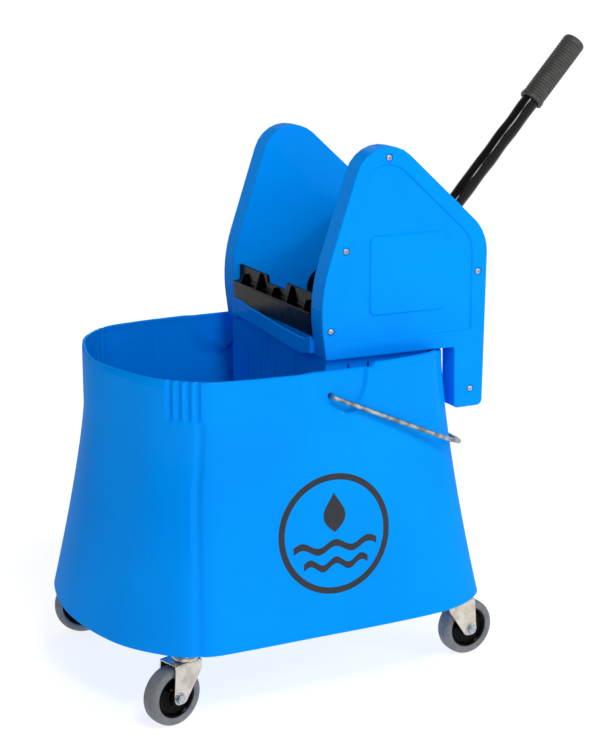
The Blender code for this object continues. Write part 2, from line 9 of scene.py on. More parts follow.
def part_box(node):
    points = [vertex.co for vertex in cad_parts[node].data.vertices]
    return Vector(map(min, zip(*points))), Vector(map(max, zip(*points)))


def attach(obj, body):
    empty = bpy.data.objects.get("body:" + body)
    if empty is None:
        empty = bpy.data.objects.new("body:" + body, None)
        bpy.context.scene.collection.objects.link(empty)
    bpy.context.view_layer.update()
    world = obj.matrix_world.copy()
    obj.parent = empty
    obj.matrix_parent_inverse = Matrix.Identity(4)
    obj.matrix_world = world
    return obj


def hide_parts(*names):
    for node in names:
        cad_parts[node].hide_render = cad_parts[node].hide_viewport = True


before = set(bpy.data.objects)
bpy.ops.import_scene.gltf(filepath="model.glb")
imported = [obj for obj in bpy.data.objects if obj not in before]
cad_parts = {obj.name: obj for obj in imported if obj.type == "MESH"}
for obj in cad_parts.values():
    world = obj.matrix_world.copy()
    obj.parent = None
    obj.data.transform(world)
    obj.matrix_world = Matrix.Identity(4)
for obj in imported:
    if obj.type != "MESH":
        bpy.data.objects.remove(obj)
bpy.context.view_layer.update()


# --- Studio -------------------------------------------------------------------------------
# A white sweep, a soft key light from the right, a stronger soft light above the near side
# and a weak one behind. A black card on the left keeps the front face deep in colour.

MM = 0.001

# The bucket's own middle, between its front and rear casters, is the zero of every size here.
TUB_FRONT = 294.0
bucket_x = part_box("bucket_shell")[0][0] + TUB_FRONT * MM
PLACE = Matrix.Translation((bucket_x, 0, 0)) @ Matrix.Scale(MM, 4)

camera_data = bpy.data.cameras.new("camera")
camera_data.lens = 84.7
camera_data.sensor_width = 36
camera_data.clip_end = 50
camera = bpy.data.objects.new("camera", camera_data)
camera.location = PLACE @ Vector((-958.5, -2040.5, 955.7))
camera.rotation_euler = (math.radians(90 - 14.3), 0, math.radians(-26.3))
bpy.context.collection.objects.link(camera)
bpy.context.scene.camera = camera
bpy.context.scene.view_settings.view_transform = "Standard"


def srgb(code):
    """A hex colour as the linear values that a shader takes."""
    values = [int(code[i:i + 2], 16) / 255 for i in (1, 3, 5)]
    linear = [v / 12.92 if v <= 0.04045 else ((v + 0.055) / 1.055) ** 2.4 for v in values]
    return (*linear, 1)


def add_node(tree, kind, values=None, links=None, stops=(), **settings):
    """Adds a node, with the values of its sockets, what feeds them, its ramp and its settings."""
    made = tree.nodes.new(kind)
    for name, value in settings.items():
        setattr(made, name, value)
    for name, value in (values or {}).items():
        made.inputs[name].default_value = value
    for name, source in (links or {}).items():
        tree.links.new(source, made.inputs[name])
    for element, code in zip(made.color_ramp.elements if stops else (), stops):
        element.color = srgb(code)
    return made


def surface(name, colours, tone_mm, dull, peel_mm, deep_mm, pattern="ShaderNodeTexNoise", stretch=(1, 1, 1),
            **fixed):
    """A material with drifting colour, uneven dullness and a fine relief, each at its size in mm.
    The fixed values go on the shader's own sockets."""
    made = bpy.data.materials.new(name)
    made.use_nodes = True
    tree = made.node_tree
    shader = tree.nodes["Principled BSDF"]
    where = add_node(tree, "ShaderNodeTexCoord").outputs["Object"]
    drift = add_node(tree, "ShaderNodeTexNoise", {"Scale": 1000 / tone_mm, "Detail": 3.0}, {"Vector": where})
    ramp = add_node(tree, "ShaderNodeValToRGB", links={"Fac": drift.outputs["Fac"]}, stops=colours)
    ramp.color_ramp.elements[0].position, ramp.color_ramp.elements[1].position = 0.35, 0.65
    worn = add_node(tree, "ShaderNodeTexNoise", {"Scale": 4000 / tone_mm, "Detail": 5.0}, {"Vector": where})
    spread = {"From Min": 0.3, "From Max": 0.7, "To Min": dull[0], "To Max": dull[1]}
    sheen = add_node(tree, "ShaderNodeMapRange", spread, {"Value": worn.outputs["Fac"]})
    drawn = add_node(tree, "ShaderNodeMapping", {"Scale": stretch}, {"Vector": where})
    peel = add_node(tree, pattern, {"Scale": 1000 / peel_mm}, {"Vector": drawn.outputs["Vector"]})
    relief = peel.outputs["Distance"] if "Voronoi" in pattern else peel.outputs["Fac"]
    bump = add_node(tree, "ShaderNodeBump", {"Strength": 1.0, "Distance": deep_mm * MM}, {"Height": relief})
    for socket, source in (("Base Color", ramp.outputs["Color"]), ("Roughness", sheen.outputs["Result"]),
                           ("Normal", bump.outputs["Normal"])):
        tree.links.new(source, shader.inputs[socket])
    for socket, value in fixed.items():
        shader.inputs[socket.replace("_", " ")].default_value = value
    return made


def area_light(name, place, target, size, power):
    data = bpy.data.lights.new(name, "AREA")
    data.shape = "DISK"
    data.size = size
    data.energy = power
    light = bpy.data.objects.new(name, data)
    light.location = place
    light.rotation_euler = (Vector(target) - Vector(place)).to_track_quat("-Z", "Y").to_euler()
    bpy.context.collection.objects.link(light)


area_light("key_light", (2.1, -2.6, 2.0), (0, 0, 0.45), 0.7, 22)
area_light("front_top_light", (-0.35, -2.0, 2.6), (-0.1, 0, 0.35), 0.8, 36)
area_light("rear_light", (0.9, 2.2, 2.2), (0, 0, 0.4), 1.4, 8)

world = bpy.data.worlds.new("studio")
world.use_nodes = True
world.node_tree.nodes["Background"].inputs["Color"].default_value = (1, 1, 1, 1)
world.node_tree.nodes["Background"].inputs["Strength"].default_value = 0.3
bpy.context.scene.world = world

# The sweep is flat round the object and rises at a distance, so that no horizon shows.
SWEEP_FLAT, SWEEP_REACH, SWEEP_TALL = 3.2, 9.0, 5.0
sweep_mesh = bmesh.new()
sweep_rings = []
for k in range(25):
    radius = max(SWEEP_REACH * k / 24, 0.01)
    rise = SWEEP_TALL * max(0, (radius - SWEEP_FLAT) / (SWEEP_REACH - SWEEP_FLAT)) ** 2
    turns = [math.tau * j / 64 for j in range(64)]
    sweep_rings.append([sweep_mesh.verts.new((radius * math.cos(t), radius * math.sin(t), rise))
                        for t in turns])
for inner_ring, outer_ring in zip(sweep_rings, sweep_rings[1:]):
    for j in range(64):
        sweep_mesh.faces.new((inner_ring[j - 1], outer_ring[j - 1], outer_ring[j], inner_ring[j]))
sweep_mesh.faces.new(sweep_rings[0])
sweep_data = bpy.data.meshes.new("studio_floor")
sweep_mesh.to_mesh(sweep_data)
sweep_mesh.free()
sweep_data.shade_smooth()
floor = bpy.data.objects.new("studio_floor", sweep_data)
bpy.context.collection.objects.link(floor)
# Seamless white background paper, faintly fibrous.
paper = surface("white_paper", ("#a9a9a9", "#acacac"), 300, (0.85, 0.95), 2, 0.02,
                Emission_Color=(1, 1, 1, 1), Emission_Strength=0.79, Specular_IOR_Level=0.0)
floor.data.materials.append(paper)

# The card stands upright, facing the bucket, and isn't seen itself.
CARD_X, CARD_Y, CARD_Z = -1.7, (-1.5, 1.5), (0.2, 1.15)
card_data = bpy.data.meshes.new("studio_card")
card_data.from_pydata([(CARD_X, CARD_Y[0], CARD_Z[0]), (CARD_X, CARD_Y[1], CARD_Z[0]),
                       (CARD_X, CARD_Y[1], CARD_Z[1]), (CARD_X, CARD_Y[0], CARD_Z[1])], [], [(0, 1, 2, 3)])
card = bpy.data.objects.new("studio_card", card_data)
card.visible_camera = False
bpy.context.collection.objects.link(card)
# Matt black foam board.
card.data.materials.append(surface("black_card", ("#020202", "#030303"), 300, (0.9, 0.95), 2, 0.0,
                                   Specular_IOR_Level=0.0))


# --- Tub ----------------------------------------------------------------------------------
# One injection moulding of blue polypropylene: the wall drops straight from the rim and flares
# to a wide skirt. Four flutes stiffen each front corner, a shallow dish is sunk round each
# pivot of the bail, and behind it the rim is raised for the wringer.

RIM_Z, SKIRT_Z, WALL = 430.0, 98.0, 4.0
UNDERSIDE_Z = 104.0
RIM_PLAN = [
    (-252, 0), (-230, 100), (-204, 145), (-174, 171), (-137, 181), (-56, 190),
    (41, 191), (118, 181), (154, 163), (174, 130), (183, 60), (183, 0),
]
SKIRT_PLAN = [
    (-294, 0), (-275, 114), (-231, 183), (-189, 209), (-140, 213), (-50, 213),
    (60, 213), (148, 207), (199, 185), (227, 149), (236, 80), (237, 0),
]
STRETCH_POINTS = [16, 30, 32, 32, 24, 44, 32, 16, 12, 12, 10]  # fine where the detail is
FLUTE_START, FLUTE_PITCH, FLUTE_HALF, FLUTE_DEEP, FLUTE_LOW = 151.8, 12.3, 4.8, 3.2, 379.0
CREASE_RUN, CREASE_DRIFT, CREASE_HALF, CREASE_DEEP = 191.5, 5.0, 8.0, 2.1
DISH_X, DISH_WIDE, DISH_TALL, DISH_DEEP = -8.0, 46.0, 63.0, 4.4
SEAT_START, SEAT_END, SEAT_HIGH = 42.0, 146.0, 6.0
LIP_TALL, LIP_PROUD, RIM_LEAN, RIM_ROUND = 10.0, 1.3, 1.0, 2.2
LEDGE_X, LEDGE_DEEP = -97.0, 2.2  # a low upright ledge inside each side wall
FLUTE_SHARE = 0.3  # how much of a flute's depth shows inside
DETAIL_Z, COARSE, FINE = 360.0, 6.8, 1.75  # the rings lie closer above this height
BAIL_PIVOT = Vector((-12, 399))
BAIL_R = 3.0


def smooth_step(value):
    value = min(max(value, 0.0), 1.0)
    return value * value * (3 - 2 * value)


def plan_loop(half):
    """A closed smooth curve through half a plan and its mirror image."""
    points = [Vector(p) for p in half + [(x, -y) for x, y in half[-2:0:-1]]]
    stretches = STRETCH_POINTS + STRETCH_POINTS[::-1]
    count = len(points)
    loop = []
    for i in range(count):
        p0, p1, p2, p3 = (points[(i + k) % count] for k in (-1, 0, 1, 2))
        for k in range(stretches[i]):
            t = k / stretches[i]
            loop.append(
                0.5 * (2 * p1 + (p2 - p0) * t + (2 * p0 - 5 * p1 + 4 * p2 - p3) * t**2
                       + (3 * p1 - p0 - 3 * p2 + p3) * t**3)
            )
    return loop


def outward(loop):
    """The outward normal at each point of a closed loop that runs anticlockwise or clockwise."""
    area = sum(p.cross(q) for p, q in zip(loop, loop[1:] + loop[:1]))
    side = math.copysign(1, area)
    normals = []
    for i in range(len(loop)):
        along = (loop[(i + 1) % len(loop)] - loop[i - 1]).normalized()
        normals.append(Vector((along.y, -along.x)) * side)
    return normals


rim_loop = plan_loop(RIM_PLAN)
steps = [(b - a).length for a, b in zip(rim_loop, rim_loop[1:] + rim_loop[:1])]
# How far each point lies from the middle of the front, round the rim, on its own side.
rim_runs = [min(sum(steps[:k]), sum(steps[k:])) for k in range(len(rim_loop))]
skirt_loop = plan_loop(SKIRT_PLAN)


def tub_plan(z):
    """The tub's outer plan at a height: the front drops before it flares, the rear flares
    all the way."""
    drop = (RIM_Z - min(z, RIM_Z)) / (RIM_Z - SKIRT_Z)
    front = max(0, (drop - 0.25) / 0.75) ** 1.25
    rear = drop**1.4
    plan = []
    for rim, skirt in zip(rim_loop, skirt_loop):
        share = min(max((rim.x + 100) / 250, 0), 1)
        plan.append(rim.lerp(skirt, front + (rear - front) * share))
    return plan


def seat_rise(x):
    rise = smooth_step((x - SEAT_START) / 7) * smooth_step((SEAT_END + 12 - x) / 12)
    return SEAT_HIGH * rise


def flute_relief(run, z):
    """How far the flutes sink the outer wall (-) at a place round the rim."""
    fade = smooth_step((z - FLUTE_LOW) / 6)
    offs = [abs(run - FLUTE_START - k * FLUTE_PITCH) / FLUTE_HALF for k in range(4)]
    return -FLUTE_DEEP * fade * sum(smooth_step((1 - off) / 0.8) for off in offs)


def tub_relief(rim, run, x, z):
    """How far the outer wall stands proud (+) or is sunk (-) at a place on it, flutes apart."""
    relief = 0.0
    off = abs(run - CREASE_RUN + CREASE_DRIFT * smooth_step((370 - z) / 90)) / CREASE_HALF
    if off < 1:
        relief -= CREASE_DEEP * (0.5 + 0.5 * math.cos(math.pi * off)) * smooth_step((FLUTE_LOW + 8 - z) / 16)
    if rim.x < 60 and abs(rim.y) > 150:
        reach = math.hypot((x - DISH_X) / DISH_WIDE, (RIM_Z - z) / DISH_TALL)
        soft = 0.42 if x < DISH_X else 0.42 - 0.36 * smooth_step((x - DISH_X) / 22)
        relief -= DISH_DEEP * smooth_step((1 - reach) / soft)
    top = RIM_Z + seat_rise(rim.x)
    seat = smooth_step((rim.x - SEAT_START - 2) / 5)
    in_lip = smooth_step((z - (top - LIP_TALL)) / 1.6)
    relief += LIP_PROUD * seat * in_lip * smooth_step((SEAT_END + 30 - rim.x) / 30)
    relief -= RIM_LEAN * (1 - seat) * smooth_step((z - (top - LIP_TALL)) / LIP_TALL)
    return relief


def make(name, mesh, finish, body, place=PLACE, stands_for=(), sharp=32):
    """One piece from a bmesh in millimetres, smooth shaded, riding on a CAD body."""
    loose = [vert for vert in mesh.verts if not vert.link_faces]
    bmesh.ops.delete(mesh, geom=loose, context="VERTS")
    bmesh.ops.transform(mesh, matrix=place, verts=mesh.verts)
    bmesh.ops.recalc_face_normals(mesh, faces=mesh.faces)
    data = bpy.data.meshes.new(name)
    mesh.to_mesh(data)
    mesh.free()
    data.shade_smooth()
    data.set_sharp_from_angle(angle=math.radians(sharp))
    data.materials.append(finish)
    made = bpy.data.objects.new(name, data)
    bpy.context.collection.objects.link(made)
    evened = made.modifiers.new("flat_faces_stay_flat", "WEIGHTED_NORMAL")
    evened.keep_sharp = True
    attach(made, body)
    if stands_for:
        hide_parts(*stands_for)
    return made


def skin(mesh, rings, closed=True):
    """Faces between rings of vertices that have the same count."""
    for low, high in zip(rings, rings[1:]):
        for i in range(0 if closed else 1, len(low)):
            mesh.faces.new((low[i - 1], low[i], high[i], high[i - 1]))


# Injection-moulded polypropylene: glossy, with the faint orange peel of a polished mould.
blue = surface("blue_polypropylene", ("#0089ef", "#0090f5"), 160, (0.2, 0.32), 5, 0.012,
               Specular_IOR_Level=0.0, Coat_Weight=0.07, Coat_Roughness=0.1)
levels = [SKIRT_Z + COARSE * k for k in range(39)] + [DETAIL_Z + FINE * k for k in range(41)]
tub = bmesh.new()
outer_rings, inner_rings = [], []
for z in levels:
    plan = tub_plan(z)
    outer, inner = [], []
    for rim, run, point, normal in zip(rim_loop, rim_runs, plan, outward(plan)):
        lift = seat_rise(rim.x) * smooth_step((z - DETAIL_Z) / (RIM_Z - DETAIL_Z))
        height = z + lift
        proud = tub_relief(rim, run, point.x, height)
        flute = flute_relief(run, height)
        out = point + normal * (proud + flute)
        outer.append(tub.verts.new((out.x, out.y, height)))
        if z >= UNDERSIDE_Z + WALL:
            ledge = LEDGE_DEEP * smooth_step((point.x - LEDGE_X) / 7)
            ledge *= smooth_step((abs(point.y) - 120) / 40)
            back = point + normal * (proud + FLUTE_SHARE * flute - WALL - ledge)
            inner.append(tub.verts.new((back.x, back.y, height)))
    outer_rings.append(outer)
    if inner:
        inner_rings.append(inner)
for vert in outer_rings[-1] + inner_rings[-1]:
    vert.co.z -= RIM_ROUND  # the rounded rim stands on these two rings
crown = []
for turn in (math.pi / 4, math.pi / 2, math.pi * 3 / 4):
    ring = []
    for a, b in zip(outer_rings[-1], inner_rings[-1]):
        across = (a.co - b.co) / 2 * math.cos(turn)
        ring.append(tub.verts.new((a.co + b.co) / 2 + across + Vector((0, 0, RIM_ROUND * math.sin(turn)))))
    crown.append(ring)
skin(tub, outer_rings + crown + inner_rings[::-1])
foot_plan = tub_plan(SKIRT_Z)
foot_in = [tub.verts.new((*(p - n * WALL), SKIRT_Z)) for p, n in zip(foot_plan, outward(foot_plan))]
under_plan = tub_plan(UNDERSIDE_Z)
under = [tub.verts.new((*(p - n * WALL), UNDERSIDE_Z)) for p, n in zip(under_plan, outward(under_plan))]
skin(tub, [outer_rings[0], foot_in, under])
tub.faces.new(under)
tub.faces.new(inner_rings[0])
tub_piece = make("tub", tub, blue, "bucket", stands_for=("bucket_shell",), sharp=50)

# The bail's ends sit in blind holes, cut from outside.
PIVOT_FLOOR_Y, PIVOT_DEPTH, PIVOT_PLAY = 184.4, 20.0, 0.8
hole_cutters = bmesh.new()
for side in (-1, 1):
    middle = Vector((BAIL_PIVOT.x, side * (PIVOT_FLOOR_Y + PIVOT_DEPTH / 2), BAIL_PIVOT.y))
    bmesh.ops.create_cone(
        hole_cutters, cap_ends=True, segments=24, radius1=BAIL_R + PIVOT_PLAY, radius2=BAIL_R + PIVOT_PLAY,
        depth=PIVOT_DEPTH, matrix=Matrix.Translation(middle) @ Matrix.Rotation(math.pi / 2, 4, "X"),
    )
bmesh.ops.transform(hole_cutters, matrix=PLACE, verts=hole_cutters.verts)
cutter_data = bpy.data.meshes.new("pivot_holes")
hole_cutters.to_mesh(cutter_data)
hole_cutters.free()
cutter = bpy.data.objects.new("pivot_holes", cutter_data)
bpy.context.collection.objects.link(cutter)
drill = tub_piece.modifiers.new("pivot_holes", "BOOLEAN")
drill.operation = "DIFFERENCE"
drill.object = cutter
graph = bpy.context.evaluated_depsgraph_get()
drilled = bpy.data.meshes.new_from_object(tub_piece.evaluated_get(graph))
tub_piece.modifiers.remove(drill)
tub_piece.data = drilled
bpy.data.objects.remove(cutter)


# --- Printed mark -------------------------------------------------------------------------
# A one-colour pad print in black ink on the tub's side: a ring with a drop over two waves.
# The film is a fifth of a millimetre thick and follows the wall.

MARK_X, MARK_Z, MARK_R, MARK_BAND = -12.0, 226.0, 76.0, 8.0
INK_PROUD, INK_SUNK = 0.2, 0.3


def strip(points_in, points_out, steps_across=2):
    """Quads between two lines of points in the plane of the mark."""
    rows = []
    for k in range(steps_across + 1):
        t = k / steps_across
        rows.append([a.lerp(b, t) for a, b in zip(points_in, points_out)])
    return rows


mark_shapes = []
circle = [Vector((math.cos(math.tau * k / 96), math.sin(math.tau * k / 96))) for k in range(96)]
mark_shapes.append((strip([p * (MARK_R - MARK_BAND) for p in circle], [p * MARK_R for p in circle]), True))
for level, reach in ((-16, 57), (-38, 44)):
    line = [Vector((reach * (k / 20 - 1), level + 4.5 * math.sin(math.tau * k / 16))) for k in range(41)]
    up = Vector((0, 4.4))
    mark_shapes.append((strip([p - up for p in line], [p + up for p in line]), False))
drop_left, drop_right = [], []
for k in range(33):
    t = k / 32
    wide = 19 * math.sin(math.pi * t) ** 0.9 * (1 - 0.62 * t**1.4)
    drop_left.append(Vector((-wide, 2 + 50 * t)))
    drop_right.append(Vector((wide, 2 + 50 * t)))
mark_shapes.append((strip(drop_left, drop_right, 8), False))

wall_tree = BVHTree.FromPolygons(
    [v.co[:] for v in tub_piece.data.vertices], [p.vertices[:] for p in tub_piece.data.polygons]
)
# Pad-printing ink: a thin dull film, slightly uneven where the pad pressed less.
ink = surface("black_print_ink", ("#070d16", "#0d1826"), 6, (0.35, 0.55), 1.2, 0.02)
mark = bmesh.new()
for rows, closed in mark_shapes:
    layers = []
    for proud in (INK_PROUD, -INK_SUNK):
        grid = []
        for row in rows:
            line = []
            for p in row:
                start = PLACE @ Vector((MARK_X + p.x, -400, MARK_Z + p.y))
                hit = wall_tree.ray_cast(start, Vector((0, 1, 0)))
                line.append(mark.verts.new(hit[0] + hit[1] * proud * MM))
            grid.append(line)
        layers.append(grid)
    top, under_side = layers
    skin(mark, top, closed)
    skin(mark, under_side, closed)
    if closed:
        skin(mark, [top[0], under_side[0]])
        skin(mark, [top[-1], under_side[-1]])
        continue
    skin(mark, [grid[0] + [r[-1] for r in grid[1:-1]] + grid[-1][::-1] + [r[0] for r in grid[-2:0:-1]]
                for grid in layers])
bmesh.ops.remove_doubles(mark, verts=mark.verts, dist=1e-6)
make("printed_mark", mark, ink, "bucket", place=Matrix.Identity(4))


# --- Bail ---------------------------------------------------------------------------------
# 6 mm galvanised wire, bent cold: its ends turn in to holes in the side walls, and its cross
# piece hangs behind the rear wall.

BAIL_SIDE_Y, BAIL_END_Y, BAIL_BEND = 197.5, 185.2, 85.0
BAIL_CROSS = Vector((202.4, 302.2))


def sweep_round(mesh, route, radius, sides=20, ends=True):
    """A round bar along a route of points, with domed ends."""
    count = len(route)
    across = None
    rings = []
    sizes = [radius] * count
    places = list(route)
    if ends:
        for end, step in ((0, 1), (-1, -1)):
            away = (places[end] - places[end + step]).normalized()
            for part in (0.5, 0.87, 0.99):
                new = route[end] + away * radius * 0.6 * part
                size = radius * math.sqrt(1 - part * part)
                if end == 0:
                    places.insert(0, new)
                    sizes.insert(0, size)
                else:
                    places.append(new)
                    sizes.append(size)
    for i, (point, size) in enumerate(zip(places, sizes)):
        ahead = (places[min(i + 1, len(places) - 1)] - places[max(i - 1, 0)]).normalized()
        if across is None:
            across = ahead.orthogonal().normalized()
        across = (across - ahead * across.dot(ahead)).normalized()
        other = ahead.cross(across)
        ring = []
        for k in range(sides):
            turn = math.tau * k / sides
            ring.append(mesh.verts.new(point + (across * math.cos(turn) + other * math.sin(turn)) * size))
        rings.append(ring)
    skin(mesh, rings)
    mesh.faces.new(rings[0])
    mesh.faces.new(rings[-1])


def bent_route(corners, spacing=4.0):
    """Points along straight runs joined by square bends, for corners of (place, bend radius)."""
    route = []
    for i, (corner, radius) in enumerate(corners):
        if i in (0, len(corners) - 1):
            route.append(corner)
            continue
        back = (corners[i - 1][0] - corner).normalized()
        ahead = (corners[i + 1][0] - corner).normalized()
        steps = 14
        for k in range(steps + 1):
            turn = math.pi / 2 * k / steps
            centre = corner + (back + ahead) * radius
            route.append(centre - ahead * radius * math.cos(turn) - back * radius * math.sin(turn))
    filled = [route[0]]
    for point in route[1:]:
        gap = (point - filled[-1]).length
        for k in range(1, max(int(gap / spacing), 1)):
            filled.append(filled[-1].lerp(point, 1 / max(int(gap / spacing) - k + 1, 1)))
        filled.append(point)
    return filled


# Hot-dip galvanised wire: pale grey zinc with a small spangle, dull in streaks. Its colour drifts at random
# from dark to pale grey: partly that spangle, partly painted reflection, the dark patches standing in for the
# darker reflections of the tub round the wire.
wire = surface("galvanised_wire", ("#6c7274", "#b7bcba"), 9, (0.25, 0.45), 2.5, 0.05,
               "ShaderNodeTexVoronoi", Metallic=1.0)
pivot_at = Vector((BAIL_PIVOT.x, 0, BAIL_PIVOT.y))
cross_at = Vector((BAIL_CROSS.x, 0, BAIL_CROSS.y))
bail_corners = [(pivot_at + Vector((0, -BAIL_END_Y, 0)), 0), (pivot_at + Vector((0, -BAIL_SIDE_Y, 0)), 6),
                (cross_at + Vector((0, -BAIL_SIDE_Y, 0)), BAIL_BEND),
                (cross_at + Vector((0, BAIL_SIDE_Y, 0)), BAIL_BEND),
                (pivot_at + Vector((0, BAIL_SIDE_Y, 0)), 6), (pivot_at + Vector((0, BAIL_END_Y, 0)), 0)]
bail = bmesh.new()
sweep_round(bail, bent_route(bail_corners), BAIL_R)
make("bail", bail, wire, "bail", stands_for=("bail_wire",))


# --- Wringer moulding ---------------------------------------------------------------------
# The second large blue moulding. Two hollow cheeks stand on hooked legs, with the slotted
# basket hanging between them, an apron over the basket's front, and the deck at the back.

CHEEK = [(1, 433, 2), (-9, 509.6, 200), (65.2, 728.8, 45.5), (231.5, 577.4, 60),
         (228.5, 350, 8), (187, 350, 5), (185.5, 431.5, 3)]
WEB_IN_Y, WEB, COVER_Y, CHEEK_OUT_Y = 118.0, 3.5, 147.3, 150.0
LEVER_AT, PRESS_AT = Vector((190, 500)), Vector((136, 467))
BUSH_SEAT_R = 12.0
BASKET = [(4, 480, 1), (4, 322, 18), (22, 306, 24), (138, 306, 24), (150, 330, 22), (150, 480, 1)]
BASKET_HALF, BASKET_TOP = 142.0, 435.0
SLOT_PITCH, SLOT_HALF, FLOOR_SLOT_HALF = 42.0, 1.5, 4.0
FRONT_SLOT_Z, SIDE_SLOT_Z, FLOOR_SLOT_X = (338.0, 393.0), (340.0, 424.0), (34.0, 122.0)
RIB_STEPS_Y, RIB_PROUD = (-56.0, -16.0, 27.0, 71.0), 1.3
DECK_LOW, DECK_HIGH = Vector((146, -120, 430.3)), Vector((226, 120, 434.3))
BACK_LOW, BACK_HIGH = Vector((222, -120, 430.3)), Vector((226, 120, 476))


def rounded(corners, steps=8):
    """A closed outline through corners (x, z, radius), with arcs at the corners."""
    outline = []
    for i, (x, z, radius) in enumerate(corners):
        corner = Vector((x, z))
        back = (Vector(corners[i - 1][:2]) - corner).normalized()
        ahead = (Vector(corners[(i + 1) % len(corners)][:2]) - corner).normalized()
        half = back.angle(ahead) / 2
        centre = corner + (back + ahead).normalized() * radius / math.sin(half)
        start = corner + back * radius / math.tan(half) - centre
        turn = start.angle_signed(corner + ahead * radius / math.tan(half) - centre)
        outline += [centre + Matrix.Rotation(-turn * k / steps, 2) @ start for k in range(steps + 1)]
    return outline


def inner_corners(corners, distance):
    """The corners of the outline that runs this far inside, with parallel arcs."""
    points = [Vector(corner[:2]) for corner in corners]
    area = sum(p.cross(q) for p, q in zip(points, points[1:] + points[:1]))
    side = math.copysign(1, area)
    inner = []
    for i, (point, corner) in enumerate(zip(points, corners)):
        before = (point - points[i - 1]).normalized()
        after = (points[(i + 1) % len(points)] - point).normalized()
        normal = Vector((-(before.y + after.y), before.x + after.x)).normalized() * side
        moved = point + normal * distance / normal.dot(Vector((-before.y, before.x)) * side)
        convex = before.cross(after) * side > 0
        radius = max(corner[2] - distance, 0.5) if convex else max(corner[2] + distance, 0.5)
        inner.append((moved.x, moved.y, radius))
    return inner


def loop_at(mesh, outline, y):
    return [mesh.verts.new((p[0], y, p[1])) for p in outline]


def circle_at(mesh, centre, radius, y, count=32):
    turns = [math.tau * k / count for k in range(count)]
    outline = [(centre[0] + radius * math.cos(t), centre[1] + radius * math.sin(t)) for t in turns]
    return loop_at(mesh, outline, y)


def face_between(mesh, *loops):
    """A flat face bounded by the first loop, with the others as its holes."""
    edges = []
    for loop in loops:
        for pair in zip(loop, loop[1:] + loop[:1]):
            edges.append(mesh.edges.get(pair) or mesh.edges.new(pair))
    bmesh.ops.triangle_fill(mesh, use_beauty=True, use_dissolve=False, edges=edges)


def block(mesh, low, high, edge=1.0):
    """A box with rounded edges."""
    corners = ((low[0], low[2]), (high[0], low[2]), (high[0], high[2]), (low[0], high[2]))
    slab(mesh, [(x, z, edge) for x, z in corners], low[1], high[1], edge)


def slab(mesh, corners, low, high, edge=1.0, steps=4):
    """An outline in X and Z between two places on Y, with rounded edges at both ends."""
    insets = [(edge * (1 - math.cos(t)), edge * (1 - math.sin(t))) for t in (math.pi / 2, math.pi / 4, 0)]
    rings = []
    for inset_by, depth in insets:
        rings.append(loop_at(mesh, rounded(inner_corners(corners, inset_by), steps), low + depth))
    for inset_by, depth in reversed(insets):
        rings.append(loop_at(mesh, rounded(inner_corners(corners, inset_by), steps), high - depth))
    skin(mesh, rings)
    mesh.faces.new(rings[0])
    mesh.faces.new(rings[-1])


def sheet(mesh, outer, inner, is_open):
    """A wall between two grids of points, without the cells where is_open(i, j)."""
    sides = [[[mesh.verts.new(p) for p in row] for row in grid] for grid in (outer, inner)]
    rows, columns = len(outer) - 1, len(outer[0]) - 1

    def solid(i, j):
        return 0 <= i < rows and 0 <= j < columns and not is_open(i, j)

    for i in range(rows):
        for j in range(columns):
            if not solid(i, j):
                continue
            for grid in sides:
                mesh.faces.new((grid[i][j], grid[i + 1][j], grid[i + 1][j + 1], grid[i][j + 1]))
            around = ((i, j, i, j + 1, i - 1, j), (i + 1, j, i + 1, j + 1, i + 1, j),
                      (i, j, i + 1, j, i, j - 1), (i, j + 1, i + 1, j + 1, i, j + 1))
            for a, b, c, d, beyond_i, beyond_j in around:
                if not solid(beyond_i, beyond_j):
                    out, back = sides
                    mesh.faces.new((out[a][b], out[c][d], back[c][d], back[a][b]))


wringer = bmesh.new()
for side in (-1, 1):
    rings = []
    for inset_by, y in ((1.8, WEB_IN_Y), (0.9, WEB_IN_Y + 0.25), (0.25, WEB_IN_Y + 0.9),
                        (0, WEB_IN_Y + 1.8), (0, COVER_Y - 0.6), (0.4, COVER_Y - 0.2),
                        (WEB, COVER_Y - 0.2), (WEB, WEB_IN_Y + WEB)):
        rings.append(loop_at(wringer, rounded(inner_corners(CHEEK, inset_by)), side * y))
    skin(wringer, rings)
    seats = [[circle_at(wringer, at, BUSH_SEAT_R, side * y) for y in (WEB_IN_Y, WEB_IN_Y + WEB)]
             for at in (LEVER_AT, PRESS_AT)]
    for pair in seats:
        skin(wringer, pair)
    face_between(wringer, rings[0], *[pair[0] for pair in seats])
    face_between(wringer, rings[-1], *[pair[1] for pair in seats])

path_out = [(4, BASKET_TOP)] + [tuple(p) for p in rounded(BASKET)[9:45]] + [(150, BASKET_TOP - 4)]
path_in = [(4 + WEB, BASKET_TOP)] + [tuple(p) for p in rounded(inner_corners(BASKET, WEB))[9:45]]
path_in.append((150 - WEB, BASKET_TOP - 4))


def with_stops(first, second, axis, stops):
    """Two matching paths with extra points where the first crosses these values on one axis."""
    out, back = [first[0]], [second[0]]
    for a, b, c, d in zip(first, first[1:], second, second[1:]):
        low, high = sorted((a[axis], b[axis]))
        inside = sorted((s for s in stops if low < s < high), reverse=a[axis] > b[axis])
        for stop in inside:
            t = (stop - a[axis]) / (b[axis] - a[axis])
            out.append(tuple(p + (q - p) * t for p, q in zip(a, b)))
            shift = tuple(q - p for p, q in zip(a, c))
            back.append(tuple(p + s for p, s in zip(out[-1], shift)))
        out.append(b)
        back.append(d)
    return out, back


